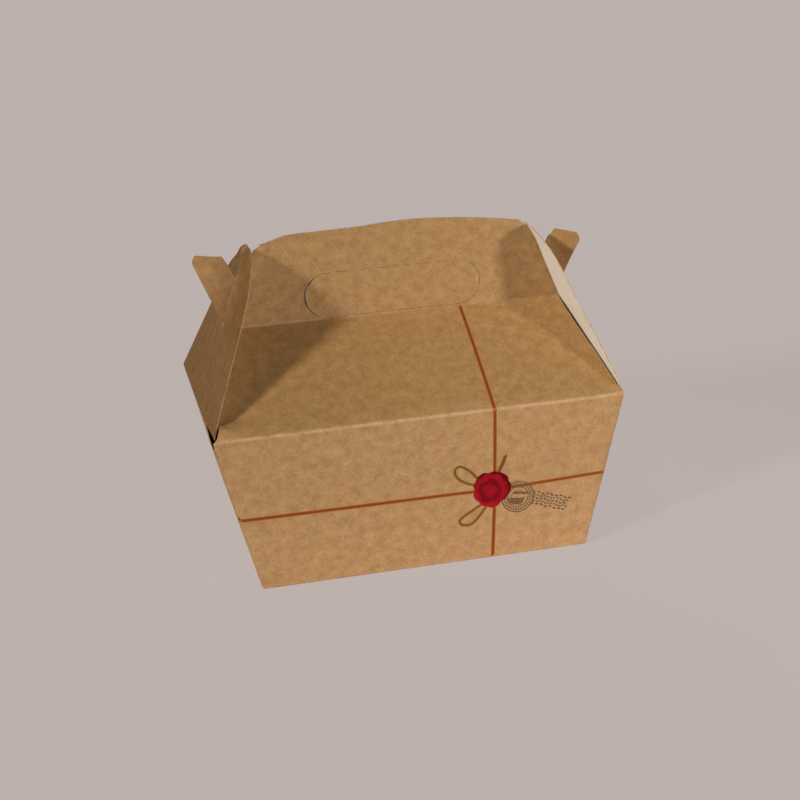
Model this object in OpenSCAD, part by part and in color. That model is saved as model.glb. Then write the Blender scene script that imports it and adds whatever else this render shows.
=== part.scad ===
// Kraft board carry carton for food, folded from one sheet: a tray that tapers to its base,
// two roof panels, two handle panels that stand face to face, and an end flap at each side
// that leans in and hooks over the ears of the handle.
// X runs along the handle, Y from front to back and Z up. The origin is the middle of the base.
// Widths and heights are taken at the middle of the board, where its creases turn.

/* [Tray] */
// Width between the creases at the top of the side walls
top_w = 240; // [225:1:280]
// Width between the creases at the base
bottom_w = 195; // [160:1:215]
// Depth from the front wall to the back wall
depth = 132; // [110:1:160]
// Height of the walls, up to the crease of the roof
wall_h = 94; // [60:1:130]
// Width of the tabs that glue the front and back walls behind the side walls
glue_tab_w = 17; // [10:1:30]
// Slant of the ends of the glue tabs, in degrees
glue_tab_slant = 35; // [10:1:50]
// Height left free below and above the glue tabs
glue_tab_inset = 3; // [1:0.5:8]

/* [Board] */
// Thickness of the board
board = 0.5; // [0.4:0.05:0.7]
// Bend radius of a fold, at the middle of the board
fold_r = 0.5; // [0.4:0.05:0.9]

/* [Roof and handle] */
// Rise of the roof panels from the walls to the ridge
roof_rise = 42; // [36:1:50]
// Height of the handle panels above the ridge, at the crown of their arched edge
handle_h = 55.4; // [52:0.2:62]
// Height above the ridge at which the arched edge meets the ends
shoulder_h = 48.8; // [45:0.2:50]
// Radius that rounds the upper corners of the handle panels
handle_corner_r = 15; // [6:1:18]
// Gap between the two handle panels
handle_gap = 0.3; // [0.1:0.05:0.6]

/* [Hand hole] */
// Length of the hand hole that is cut in the handle panels and still closed
hole_l = 106; // [85:1:120]
// Height of the hand hole
hole_h = 28; // [22:1:34]
// Height of the lower cut of the hand hole above the ridge
hole_rise = 0.9; // [0.8:0.1:4]
// Width of the cut
cut_w = 0.4; // [0.3:0.05:0.8]
// Length of each cut in the perforated upper edge
perf_cut = 8; // [4:0.5:14]
// Length of board left between two cuts of the perforated edge
perf_bridge = 4; // [2:0.5:8]
// Width of the nicks that hold the lower edge closed
nick_w = 1.5; // [0.8:0.1:3]
// Distance between two nicks
nick_pitch = 24; // [12:1:30]

/* [Ears] */
// Distance up the end flap from the ridge to the lower end of an ear's neck
ear_rise = 3.1; // [2:0.1:6]
// Height of the neck, where the ear passes through the flap
ear_neck = 26; // [20:0.5:28]
// How far the ear stands out of the flap
ear_reach = 26.5; // [16:0.5:34]
// How far up the lower edge climbs on its way out
ear_climb = 26; // [24:0.5:31]
// Height of the outer end
ear_end = 4.5; // [4:0.5:7]
// Height of the hook above the neck
ear_hook = 11.4; // [10.5:0.1:14]
// How far the hook's inner corner stands out of the flap
hook_out = 13.5; // [10:0.5:15]
// Drop of the bevel that breaks the hook's inner corner
bevel_drop = 4; // [2:0.5:5]
// Run of that bevel back towards the flap
bevel_run = 6.4; // [4:0.1:7]
// Radius that rounds the ear's corners
ear_corner_r = 2.2; // [0.5:0.1:2.4]
// Radius in the two roots of the neck
neck_root_r = 0.8; // [0.4:0.1:1.2]

/* [End flaps] */
// Lean of the end flaps towards the middle, in degrees from upright
flap_lean = 22.3; // [20:0.1:25]
// Board left between the end of a flap's slot and its round tip
tip_land = 8.2; // [4:0.1:14]
// Slant of the two sides of a flap, in degrees
flap_flank = 20.8; // [16:0.2:24]

/* [Clearances] */
// Gap between a flap's crease and the top of its side wall
hinge_gap = 0.3; // [0.2:0.05:0.6]
// Gap between a flap's inner face and the ends of the roof and handle panels
end_gap = 0.3; // [0.2:0.05:0.8]
// Gap between a flap's lower corners and the front and back walls
flap_side_gap = 0.6; // [0.3:0.1:2]
// Play of the ears in the width of a flap's slot, on each side
slot_side_play = 0.45; // [0.35:0.05:1]
// Play below the ears' neck in a flap's slot
slot_low_play = 3.8; // [2:0.2:6]
// Play above the ears' hook in a flap's slot
slot_high_play = 2; // [1:0.1:2.5]

/* [Hidden] */

kraft = "#b98f62";
fold_steps = 3;
corner_steps = 6;
arch_steps = 12;
tip_steps = 24;
// Keeps the two arcs of a round end from meeting in one point
arc_join = 0.01;
// How far a blank that is trimmed afterwards runs past the carton
spare = 20;

half_board = board / 2;
ridge_z = wall_h + roof_rise;
crown_z = ridge_z + handle_h;
shoulder_z = ridge_z + shoulder_h;
handle_mid_y = (handle_gap + board) / 2;
blank_w = top_w + 2 * spare;
blank_d = depth + 2 * spare;

// Crease of the right-hand end flap, seen from the front, as [x, z]
crease = [top_w / 2, wall_h];
base_corner = [bottom_w / 2, half_board];
up_wall = (crease - base_corner) / norm(crease - base_corner);
up_flap = [-sin(flap_lean), cos(flap_lean)];
out_of_flap = [cos(flap_lean), sin(flap_lean)];

// Where the ends of the roof and handle panels lie, measured out of the flap
end_edge = -(half_board + end_gap);
ear_start = roof_rise / cos(flap_lean) + ear_rise;
ear_top = ear_start + ear_neck + ear_hook;

// Point of the front view that lies up the flap by a distance and out of it by another
function at_flap(up, out) = crease + up_flap * up + out_of_flap * out;

function unit(v) = v / norm(v);
function left_of(v) = [-v[1], v[0]];
function mirrored(points) = [for (p = points) [-p[0], p[1]]];
function reversed(points) = [for (i = [len(points) - 1:-1:0]) points[i]];
function turns_left(a, b, c) = cross(b - a, c - b) > 0 ? 1 : -1;

// Arc of radius r that rounds the corner b between a and c
function fillet(a, b, c, r, steps) =
    let(
        u = unit(a - b),
        v = unit(c - b),
        half = acos(u * v) / 2,
        centre = b + unit(u + v) * r / sin(half),
        first = b + u * r / tan(half) - centre,
        from = atan2(first[1], first[0]),
        turn = turns_left(a, b, c) * (180 - 2 * half)
    )
    r <= 0 ? [b] : [for (i = [0:steps]) centre + r * [cos(from + turn * i / steps), sin(from + turn * i / steps)]];

// Outline through corners given as [x, y, radius], each rounded by its own radius
function rounded(corners) =
    let(
        n = len(corners),
        p = [for (c = corners) [c[0], c[1]]]
    )
    [for (i = [0:n - 1]) each fillet(p[(i + n - 1) % n], p[i], p[(i + 1) % n], corners[i][2], corner_steps)];

// Corner b of a path, moved to the left of the path by d
function moved_corner(a, b, c, d) =
    let(
        n1 = left_of(unit(b - a)),
        n2 = left_of(unit(c - b))
    )
    b + (n1 + n2) * d / (1 + n1 * n2);

// An open path, moved to its left by d
function moved_path(p, d) =
    let(last = len(p) - 1)
    [for (i = [0:last])
        i == 0 ? p[0] + left_of(unit(p[1] - p[0])) * d
        : i == last ? p[last] + left_of(unit(p[last] - p[last - 1])) * d
        : moved_corner(p[i - 1], p[i], p[i + 1], d)];

// One face of a board folded along a path, at a distance d to the left of its middle
function board_face(p, d) =
    let(
        q = moved_path(p, d),
        last = len(p) - 1
    )
    [for (i = [0:last])
        each i == 0 || i == last ? [q[i]]
        : fillet(q[i - 1], q[i], q[i + 1], fold_r - d * turns_left(p[i - 1], p[i], p[i + 1]), fold_steps)];

// Section of a board folded along a path
function board_section(p) = concat(board_face(p, half_board), reversed(board_face(p, -half_board)));

// Path of the board from the front handle panel round the base to the back handle panel, as [y, z]
front_path = [
    [-handle_mid_y, crown_z + spare],
    [-handle_mid_y, ridge_z],
    [-depth / 2, wall_h],
    [-depth / 2, half_board]
];
wrap_path = concat(front_path, reversed(mirrored(front_path)));

// Path of the board from the crease of one end flap round the base to the other, as [x, z]
right_path = [base_corner, crease];
tray_path = concat(reversed(mirrored(right_path)), right_path);

// The side walls stop short of the flaps' creases
wall_top = crease - up_wall * (half_board + hinge_gap);
side_path = concat([[-wall_top[0], wall_top[1]], mirrored(right_path)[0]], [base_corner, wall_top]);

// Right-hand ear, from the lower root of its neck round to the upper root
ear_corners = [
    [ear_start, end_edge, neck_root_r],
    [ear_start + ear_climb, ear_reach, ear_corner_r],
    [ear_start + ear_climb + ear_end, ear_reach, ear_corner_r],
    [ear_top, hook_out, ear_corner_r],
    [ear_top - bevel_drop, hook_out - bevel_run, ear_corner_r],
    [ear_start + ear_neck, end_edge, neck_root_r]
];

// Upper corner of the handle panel, before it is rounded, and the arc through both and the crown
shoulder = at_flap((shoulder_z - wall_h - end_edge * out_of_flap[1]) / up_flap[1], end_edge);
arch_rise = crown_z - shoulder_z;
arch_r = (pow(shoulder[0], 2) + pow(arch_rise, 2)) / (2 * arch_rise);
arch_half = asin(shoulder[0] / arch_r);
arch = [for (i = [1:arch_steps - 1])
    let(a = arch_half * (1 - 2 * i / arch_steps))
    [arch_r * sin(a), crown_z - arch_r + arch_r * cos(a)]];

// Right-hand end of roof, ear and handle, upwards from the crease, as [x, z, radius]
end_corners = concat(
    [concat(at_flap(0, end_edge), 0)],
    [for (c = ear_corners) concat(at_flap(c[0], c[1]), c[2])],
    [concat(shoulder, handle_corner_r)]
);

function with_radius(points, r) = [for (p = points) [p[0], p[1], r]];
function swapped(corners) = [for (c = reversed(corners)) [-c[0], c[1], c[2]]];

// Everything that the carton covers in the front view
front_outline = rounded(concat(
    with_radius(board_face(tray_path, -half_board), 0),
    end_corners,
    with_radius(arch, 0),
    swapped(end_corners)
));

// The slot lets the whole ear through as the flap swings about its crease
slot_w = 2 * board + handle_gap + 2 * slot_side_play;
slot_low = ear_start - slot_low_play;
slot_high = max([for (c = ear_corners) norm([c[0], c[1]])]) + slot_high_play;

// Straight-sided flap with a round tip that runs on from both sides, as [y, up]
flap_l = slot_high + tip_land;
flap_half_w = depth / 2 - half_board - flap_side_gap;
tip_up = (flap_l - flap_half_w * cos(flap_flank)) / (1 - sin(flap_flank));
tip_r = flap_l - tip_up;
flap_outline = concat(
    [[-flap_half_w, -half_board], [flap_half_w, -half_board], [flap_half_w, 0]],
    [for (i = [0:tip_steps])
        let(a = flap_flank + (180 - 2 * flap_flank) * i / tip_steps)
        [tip_r * cos(a), tip_up + tip_r * sin(a)]],
    [[-flap_half_w, 0]]
);

// Section of a flap: a board whose lower end is rounded about the crease
flap_section = concat(
    [at_flap(flap_l + spare, half_board), at_flap(flap_l + spare, -half_board)],
    [for (i = [0:corner_steps])
        let(a = 180 * i / corner_steps)
        at_flap(-half_board * sin(a), -half_board * cos(a))]
);

module along_x(length) {
    rotate([90, 0, 90]) linear_extrude(height = length, center = true) children();
}

module along_y(length) {
    rotate([90, 0, 0]) linear_extrude(height = length, center = true) children();
}

// Board from the front handle panel, down and round the base, to the back handle panel
module wrap() {
    intersection() {
        along_x(blank_w) polygon(board_section(wrap_path));
        along_y(blank_d) polygon(front_outline);
    }
}

// Base and side walls, whose cut edges end flush with the front and back walls
module side_walls() {
    intersection() {
        along_y(blank_d) polygon(board_section(side_path));
        along_x(blank_w) polygon(board_face(wrap_path, -half_board));
    }
}

// Outline of one glue tab seen from the side, from the middle of the front wall inwards
module tab_outline() {
    low = board + glue_tab_inset;
    high = wall_h - board - glue_tab_inset;
    slant = glue_tab_w * tan(glue_tab_slant);
    polygon([
        [-depth / 2, low],
        [-depth / 2 + glue_tab_w, low + slant],
        [-depth / 2 + glue_tab_w, high - slant],
        [-depth / 2, high]
    ]);
}

// The four tabs inside the corners, glued to the side walls
module glue_tabs() {
    inside = moved_path(tray_path, 1.5 * board);
    layer = concat(tray_path, reversed(inside));
    intersection() {
        along_y(depth) polygon(layer);
        along_x(blank_w) {
            tab_outline();
            mirror([1, 0, 0]) tab_outline();
        }
    }
}

module hole_outline(inset) {
    low = ridge_z + hole_rise + inset;
    high = ridge_z + hole_rise + hole_h - inset;
    end = hole_l / 2 - inset;
    r = (high - low) / 2 - arc_join;
    polygon(rounded([[-end, low, r], [end, low, r], [end, high, r], [-end, high, r]]));
}

// Board that still holds the hand hole closed: bridges along its top and nicks along its base
module hole_bridges() {
    flat = hole_l - hole_h;
    perf_pitch = perf_cut + perf_bridge;
    bridges = floor(flat / perf_pitch);
    nicks = floor(flat / nick_pitch);
    for (i = [0:bridges])
        translate([(i - bridges / 2) * perf_pitch, ridge_z + hole_rise + hole_h])
            square([perf_bridge, 3 * cut_w], center = true);
    for (i = [0:nicks])
        translate([(i - nicks / 2) * nick_pitch, ridge_z + hole_rise])
            square([nick_w, 3 * cut_w], center = true);
}

// The cut round the hand hole, through both handle panels
module hole_cuts() {
    along_y(2 * handle_mid_y + 4 * board)
        difference() {
            hole_outline(0);
            hole_outline(cut_w);
            hole_bridges();
        }
}

module carton() {
    color(kraft)
        difference() {
            union() {
                wrap();
                side_walls();
                glue_tabs();
            }
            hole_cuts();
        }
}

module slot_outline() {
    side = slot_w / 2;
    r = side - arc_join;
    polygon(rounded([[-side, slot_low, r], [side, slot_low, r], [side, slot_high, r], [-side, slot_high, r]]));
}

// End flap of the right-hand side
module end_flap() {
    color(kraft)
        intersection() {
            along_y(depth) polygon(flap_section);
            translate([crease[0], 0, crease[1]])
                rotate([0, -flap_lean, 0])
                    along_x(4 * board)
                        difference() {
                            polygon(flap_outline);
                            slot_outline();
                        }
        }
}

module right_end_flap() {
    end_flap();
}

module left_end_flap() {
    mirror([1, 0, 0]) end_flap();
}

carton();
left_end_flap();
right_end_flap();
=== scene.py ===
# %% [markdown]
# # A kraft board carry carton
#
# The object is one sheet of kraft board: brown outside, cream inside, die-cut flat, creased and folded.
# This lesson follows the same order. It draws the flat blank, fills it with triangles, folds it over
# rounded creases, lets the panels bow a little as real board does, and gives the sheet its thickness last.
# The print is drawn on the same flat blank and folded by the same function, so it can't leave the board.

# %% Frame
import math

import bpy
import numpy as np
from mathutils import Matrix, Vector
from mathutils.geometry import delaunay_2d_cdt


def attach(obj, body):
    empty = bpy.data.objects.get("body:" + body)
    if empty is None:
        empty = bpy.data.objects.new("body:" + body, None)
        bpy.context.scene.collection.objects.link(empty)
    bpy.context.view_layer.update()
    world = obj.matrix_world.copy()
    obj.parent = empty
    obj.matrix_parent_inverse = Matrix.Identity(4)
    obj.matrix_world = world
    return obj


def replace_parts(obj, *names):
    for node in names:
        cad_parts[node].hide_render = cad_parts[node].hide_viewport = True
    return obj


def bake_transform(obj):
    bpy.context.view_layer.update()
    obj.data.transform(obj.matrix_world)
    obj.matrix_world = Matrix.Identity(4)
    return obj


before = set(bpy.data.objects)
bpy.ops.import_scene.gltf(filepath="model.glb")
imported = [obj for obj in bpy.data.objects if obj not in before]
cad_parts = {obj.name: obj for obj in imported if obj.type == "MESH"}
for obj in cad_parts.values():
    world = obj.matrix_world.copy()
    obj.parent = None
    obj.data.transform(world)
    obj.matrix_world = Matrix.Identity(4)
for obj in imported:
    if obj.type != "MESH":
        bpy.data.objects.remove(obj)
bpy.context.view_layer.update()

# %% [markdown]
# ## Sizes
#
# Everything is worked out in millimetres, as a carton drawing is, and turned to metres when a mesh is made.
# The sizes are those of the CAD frame. Widths and heights are taken at the middle of the board.

# %% Sizes of the carton, in millimetres
MM = 0.001
BOARD = 0.5          # thickness
HALF_TOP = 120.0     # half the width at the top of the walls
HALF_BOTTOM = 97.5   # half the width at the base
HALF_DEPTH = 66.0
WALL_H = 94.0        # height of the eaves crease
RIDGE_Z = 136.0
CROWN_Z = 191.4      # top of the handle's arc
SHOULDER_Z = 184.8   # height at which the arc meets the handle's ends
HANDLE_Y = 0.4       # from the middle plane to a handle panel
CREASE_R = 0.9       # bend radius of a crease
FLAP_LEAN = math.radians(22.3)
END_GAP = 0.55       # play between an end flap and the ends of the roof and walls

up_flap = np.array([-math.sin(FLAP_LEAN), math.cos(FLAP_LEAN)])
out_of_flap = np.array([math.cos(FLAP_LEAN), math.sin(FLAP_LEAN)])
crease_point = np.array([HALF_TOP, WALL_H])


def at_flap(up, out):
    """Point [x, z] of the front view, up the right-hand flap and out of it."""
    return crease_point + up_flap * up + out_of_flap * out


def smooth(t):
    """0 before t = 0, 1 after t = 1 and an even curve between."""
    t = np.clip(t, 0, 1)
    return t * t * (3 - 2 * t)


print("ridge", RIDGE_Z, "crown", CROWN_Z, "flap lean in degrees", round(math.degrees(FLAP_LEAN), 1))

# %% [markdown]
# ## Colours and the one node helper
#
# Colours are read off a screen as sRGB hex values, but a shader works with linear light, so one function
# turns them. A second small function adds a shader or geometry node, sets its properties and fills or
# links its sockets. With it a node tree reads like a list of steps.

# %% Colours and nodes
def linear(code):
    """The linear colour of an sRGB hex code such as '#ae865d'."""
    parts = [int(code[i:i + 2], 16) / 255 for i in (1, 3, 5)]
    return [c / 12.92 if c <= 0.04045 else ((c + 0.055) / 1.055) ** 2.4 for c in parts] + [1.0]


def add(tree, kind, settings=None, sockets=None):
    """A new node. Sockets are given by name or number; a value that is itself an output gets linked."""
    made = tree.nodes.new(kind)
    for name, value in (settings or {}).items():
        setattr(made, name, value)
    for name, value in (sockets or {}).items():
        if isinstance(value, bpy.types.NodeSocket):
            tree.links.new(value, made.inputs[name])
        else:
            made.inputs[name].default_value = value
    return made


def empty_material(name):
    """A material with no nodes yet, and its tree."""
    material = bpy.data.materials.new(name)
    material.use_nodes = True
    material.node_tree.nodes.clear()
    return material, material.node_tree


print("kraft brown in linear light:", [round(c, 3) for c in linear("#ae865d")[:3]])

# %% [markdown]
# ## Kraft board
#
# Kraft board is pressed from unbleached long fibres. Its brown isn't even: the fibres flock together in
# cloudy patches 5 to 8 mm wide, with a fine grain of about 1 mm inside them and single dark and light
# fibres about 3 mm long. Where it is creased, the top fibres break and the line turns pale and ragged.
#
# The pattern is looked up at each point's place on the flat blank, stored as a vertex attribute, so the
# clouds run on over the creases as they do on a real sheet. A second attribute says how worn a point is,
# mostly by its distance to a crease; on the lip of the left flap's slot it also paints a highlight. Uncoated
# board is matt: rough, with only a faint gloss.
#
# In the photograph the panels differ in brightness by more than the lamps here explain. The table below
# paints that light and shade into the colour, with multipliers that were fitted to the photograph: the roof
# and the end flaps darker, the handle less dark than the roof, the foot of the walls lighter. Each one fades
# in along the blank.

# %% Material: kraft board
# Painted shade on the roof and the end flaps, less of it on the handle, painted light at the foot of the
# walls.
# (axis of the blank, where the painted light and shade starts, where it is full, multiplier)
PAINTED_PANEL_SHADING = [
    ("Y", 0.155, 0.168, (0.90, 0.87, 0.73, 1)),  # roof and handle
    ("Y", 0.232, 0.240, (1.04, 1.07, 1.18, 1)),  # handle, on top of that
    ("Y", 0.130, 0.080, (1.07, 1.06, 1.07, 1)),  # base, side walls, end flaps, foot of the other walls
    ("X", 0.190, 0.195, (0.92, 0.89, 0.80, 1)),  # end flaps, on top of that
]
# Sizes in metres. A set of fibres has a length, a width and a direction in radians.
CLOUD, RAGGED, DRIFT, RELIEF = 0.0062, 0.006, 0.0042, 0.00006
FIBRES = [(0.0032, 0.0005, 0.5), (0.0026, 0.00045, -1.1)]
GREY = (0.5, 0.5, 0.5, 1)


def kraft_material(name, brown, dark, pale, worn, contrast, shading_share, grain_size=0.0011):
    """Board from dark to brown with dark and pale fibres. The argument after contrast is the share of the
    painted light and shade of the panels that it takes.
    """
    material, tree = empty_material(name)
    blank = add(tree, "ShaderNodeAttribute", {"attribute_name": "blank"}).outputs["Vector"]
    clouds = add(tree, "ShaderNodeTexNoise", None,
                 {"Vector": blank, "Scale": 1 / CLOUD, "Detail": 4.0, "Roughness": 0.66}).outputs["Fac"]
    grain = add(tree, "ShaderNodeTexNoise", None,
                {"Vector": blank, "Scale": 1 / grain_size, "Detail": 2.0, "Roughness": 0.6}).outputs["Fac"]
    fibres = []
    for length, width, angle in FIBRES:
        turned = add(tree, "ShaderNodeMapping", None,
                     {"Vector": blank, "Rotation": (0, 0, angle), "Scale": (1 / length, 1 / width, 1.0)})
        noise = add(tree, "ShaderNodeTexNoise", None,
                    {"Vector": turned.outputs["Vector"], "Scale": 1.0, "Detail": 1.0, "Distortion": 0.8})
        fibres.append(noise.outputs["Fac"])

    # Clouds and grain choose between dark and brown, and a second noise lets the hue drift a little.
    shade = add(tree, "ShaderNodeMix", {"data_type": "FLOAT"}, {0: 0.42, 2: clouds, 3: grain}).outputs[0]
    reach = 0.22 / contrast
    span = add(tree, "ShaderNodeMapRange", None,
               {"Value": shade, "From Min": 0.5 - reach, "From Max": 0.5 + reach}).outputs[0]
    even = add(tree, "ShaderNodeMix", {"data_type": "RGBA"},
               {0: span, 6: linear(dark), 7: linear(brown)}).outputs[2]
    drift = add(tree, "ShaderNodeTexNoise", None,
                {"Vector": blank, "Scale": 1 / DRIFT, "Detail": 2.0, "Roughness": 0.5}).outputs["Color"]
    hue = add(tree, "ShaderNodeMix", {"data_type": "RGBA"}, {0: 0.89, 6: drift, 7: GREY}).outputs[2]
    colour = add(tree, "ShaderNodeMix", {"data_type": "RGBA", "blend_type": "OVERLAY"},
                 {0: 1.0, 6: even, 7: hue}).outputs[2]
    single_fibres = ((fibres[0], 0.33, 0.25, 0.4, dark), (fibres[1], 0.67, 0.76, 0.5, pale))
    for noise, low, high, share, tint in single_fibres:
        there = add(tree, "ShaderNodeMapRange", None,
                    {"Value": noise, "From Min": low, "From Max": high, "To Max": share}).outputs[0]
        colour = add(tree, "ShaderNodeMix", {"data_type": "RGBA"},
                     {0: there, 6: colour, 7: linear(tint)}).outputs[2]
    # Painted light and shade of the panels, from the table above, each fading in along the blank.
    spot = add(tree, "ShaderNodeSeparateXYZ", None, {"Vector": blank})
    for axis, start, full, painted_shading in PAINTED_PANEL_SHADING:
        away = add(tree, "ShaderNodeMath", {"operation": "ABSOLUTE"}, {0: spot.outputs[axis]}).outputs[0]
        there = add(tree, "ShaderNodeMapRange", {"interpolation_type": "SMOOTHSTEP"},
                    {"Value": away, "From Min": start, "From Max": full, "To Max": shading_share}).outputs[0]
        colour = add(tree, "ShaderNodeMix", {"data_type": "RGBA", "blend_type": "MULTIPLY"},
                     {0: there, 6: colour, 7: painted_shading}).outputs[2]

    # Broken fibres where the board is worn, in patches, and a painted highlight on the lip of the left slot.
    wear = add(tree, "ShaderNodeAttribute", {"attribute_name": "wear"}).outputs["Fac"]
    ragged = add(tree, "ShaderNodeTexNoise", None,
                 {"Vector": blank, "Scale": 1 / RAGGED, "Detail": 5.0, "Roughness": 0.7}).outputs["Fac"]
    patchy = add(tree, "ShaderNodeMapRange", None,
                 {"Value": ragged, "From Min": 0.36, "From Max": 0.6, "To Min": 0.25}).outputs[0]
    worn_and_lit = add(tree, "ShaderNodeMath", {"operation": "MULTIPLY", "use_clamp": True},
                 {0: wear, 1: patchy}).outputs[0]
    colour = add(tree, "ShaderNodeMix", {"data_type": "RGBA"},
                 {0: worn_and_lit, 6: colour, 7: linear(worn)}).outputs[2]

    height = add(tree, "ShaderNodeMath", {"operation": "ADD"}, {0: grain, 1: fibres[0]}).outputs[0]
    bump = add(tree, "ShaderNodeBump", None,
               {"Strength": 0.35, "Distance": RELIEF, "Height": height}).outputs[0]
    matt = add(tree, "ShaderNodeMapRange", None,
               {"Value": clouds, "To Min": 0.86, "To Max": 0.74}).outputs[0]
    shader = add(tree, "ShaderNodeBsdfPrincipled", None,
                 {"Base Color": colour, "Roughness": matt, "Normal": bump,
                  "IOR": 1.45, "Specular IOR Level": 0.1})
    add(tree, "ShaderNodeOutputMaterial", None, {"Surface": shader.outputs[0]})
    return material


# The face is uncoated, unbleached kraft: a cloudy matt brown. It takes the painted light and shade of the
# panels in full.
kraft_outside = kraft_material("kraft_board_unbleached",
                               "#bd956a", "#9f784e", "#cdab80", "#d6b088", 1.6, 1.0)
# The inner ply is bleached: cream, and nearly even.
kraft_inside = kraft_material("board_inside_cream_liner",
                              "#ede9df", "#e4dfd3", "#f3f0e8", "#ece7dc", 0.7, 0.0)
# The die cuts through the plies, so the rim is raw fibre, a little paler than the face.
kraft_cut = kraft_material("board_cut_edge_raw_fibre",
                           "#c7a880", "#a98658", "#dcc8a8", "#cfb18a", 1.6, 0.0, 0.0009)
SHEET_FINISHES = [kraft_outside, kraft_inside, kraft_cut]
print("board finishes:", [m.name for m in SHEET_FINISHES])

# %% [markdown]
# ## How a strip of board folds
#
# Seen from the side, the board runs along a path of straight panels and short bends. A bend of radius r
# that turns by an angle a uses r times a of board, and starts r times tan(a/2) before the corner that the
# two panels would meet in. From this each distance along the flat sheet gets its one place in space.
# One half of each path is enough, from the middle of the base outwards. The other half is its mirror image.

# %% Paths of the folded board
def bent_path(corners, radius):
    """Straight runs and bends along a path of corners, each as (start, length, point, direction, turn)."""
    corners = [np.array(c, float) for c in corners]
    ways = [(b - a) / np.linalg.norm(b - a) for a, b in zip(corners, corners[1:])]
    turns = [math.atan2(a[0] * b[1] - a[1] * b[0], a @ b) for a, b in zip(ways, ways[1:])]
    cuts = [0.0] + [radius * math.tan(abs(t) / 2) for t in turns] + [0.0]
    runs, at, start = [], 0.0, corners[0]
    for i, way in enumerate(ways):
        length = np.linalg.norm(corners[i + 1] - corners[i]) - cuts[i] - cuts[i + 1]
        runs.append((at, length, start, way, 0.0))
        at, start = at + length, start + way * length
        if i < len(turns):
            runs.append((at, radius * abs(turns[i]), start, way, turns[i]))
            at += radius * abs(turns[i])
            start = corners[i + 1] + ways[i + 1] * cuts[i + 1]
    return runs


def on_path(runs, w, radius):
    """Points and outward normals of the path at the distances w."""
    w = np.asarray(w, float)
    points, normals = np.zeros((len(w), 2)), np.zeros((len(w), 2))
    for k, (at, length, start, way, turn) in enumerate(runs):
        mask = (w >= at - 1e-9) if k else np.ones(len(w), bool)
        s = w[mask] - at
        left = np.array([-way[1], way[0]])
        if turn == 0.0:
            points[mask] = start + s[:, None] * way
            normals[mask] = left
        else:
            a = s / radius
            side = math.copysign(1, turn)
            sin_a, cos_a = np.sin(a)[:, None], np.cos(a)[:, None]
            points[mask] = start + radius * (sin_a * way + side * (1 - cos_a) * left)
            normals[mask] = cos_a * left - side * sin_a * way
    return points, normals


wrap_runs = bent_path([(0, BOARD / 2), (-HALF_DEPTH, BOARD / 2), (-HALF_DEPTH, WALL_H),
                       (-HANDLE_Y, RIDGE_Z), (-HANDLE_Y, CROWN_Z + 5)], CREASE_R)
side_runs = bent_path([(0, BOARD / 2), (-HALF_BOTTOM, BOARD / 2), (-HALF_TOP, WALL_H)], CREASE_R)
BASE, BASE_BEND, WALL, EAVES_BEND, ROOF, RIDGE_BEND, HANDLE = range(7)


def wrap_at(run, z):
    """Distance along the wrap at which the straight run reaches the height z."""
    at, _, start, way, _ = wrap_runs[run]
    return at + (z - start[1]) / way[1]


print("flat length, base centre to crown:", round(wrap_at(HANDLE, CROWN_Z), 1), "mm")

# %% [markdown]
# ## The outline of the blank
#
# A quarter of the blank is drawn, from the middle of a side wall round to the crown of the handle, and
# mirrored twice. Corners are rounded by a fillet function that works on any three points. The hook-shaped
# ears and the shoulders of the handle get their radius from it.

# %% Outline helpers
def fillet(a, b, c, radius, steps=10):
    """Points of an arc that rounds the corner b between a and c."""
    a, b, c = (np.array(p, float) for p in (a, b, c))
    u, v = (a - b) / np.linalg.norm(a - b), (c - b) / np.linalg.norm(c - b)
    half = math.acos(np.clip(u @ v, -1, 1)) / 2
    centre = b + (u + v) / np.linalg.norm(u + v) * radius / math.sin(half)
    first = b + u * radius / math.tan(half) - centre
    turn = math.copysign(math.pi - 2 * half, np.cross(b - a, c - b))
    angles = math.atan2(first[1], first[0]) + turn * np.linspace(0, 1, steps + 1)
    return [centre + radius * np.array([math.cos(t), math.sin(t)]) for t in angles]


def spaced(points, step, closed=False):
    """The same line with points added so that none are further apart than step."""
    points = [np.array(p, float) for p in points]
    made = []
    for a, b in zip(points, points[1:] + points[:1] if closed else points[1:]):
        n = max(1, math.ceil(np.linalg.norm(b - a) / step))
        made += [a + (b - a) * i / n for i in range(n)]
    return made if closed else made + [points[-1]]


def side_x(z):
    """Half width between the side walls at a height."""
    return HALF_BOTTOM + (HALF_TOP - HALF_BOTTOM) * (z - BOARD / 2) / (WALL_H - BOARD / 2)


ROOF_RELIEF, RELIEF_H = 1.1, 14


def end_x(z):
    """Half length of a roof or handle panel at a height, with a relief at the foot of the roof."""
    along = at_flap(0, -END_GAP)
    relief = ROOF_RELIEF * (1 - smooth((z - WALL_H) / RELIEF_H))
    return along[0] - (z - along[1]) * math.tan(FLAP_LEAN) - relief


print("half width at the base, the eaves and the ridge:",
      [round(float(v), 1) for v in (side_x(BOARD / 2), side_x(WALL_H), end_x(RIDGE_Z))])

# %% Outline of one quarter, as [x, distance along the wrap]
EAR_START, EAR_NECK, EAR_HOOK = 48.5, 26.0, 11.4
SHOULDER_R = 15.0
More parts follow.
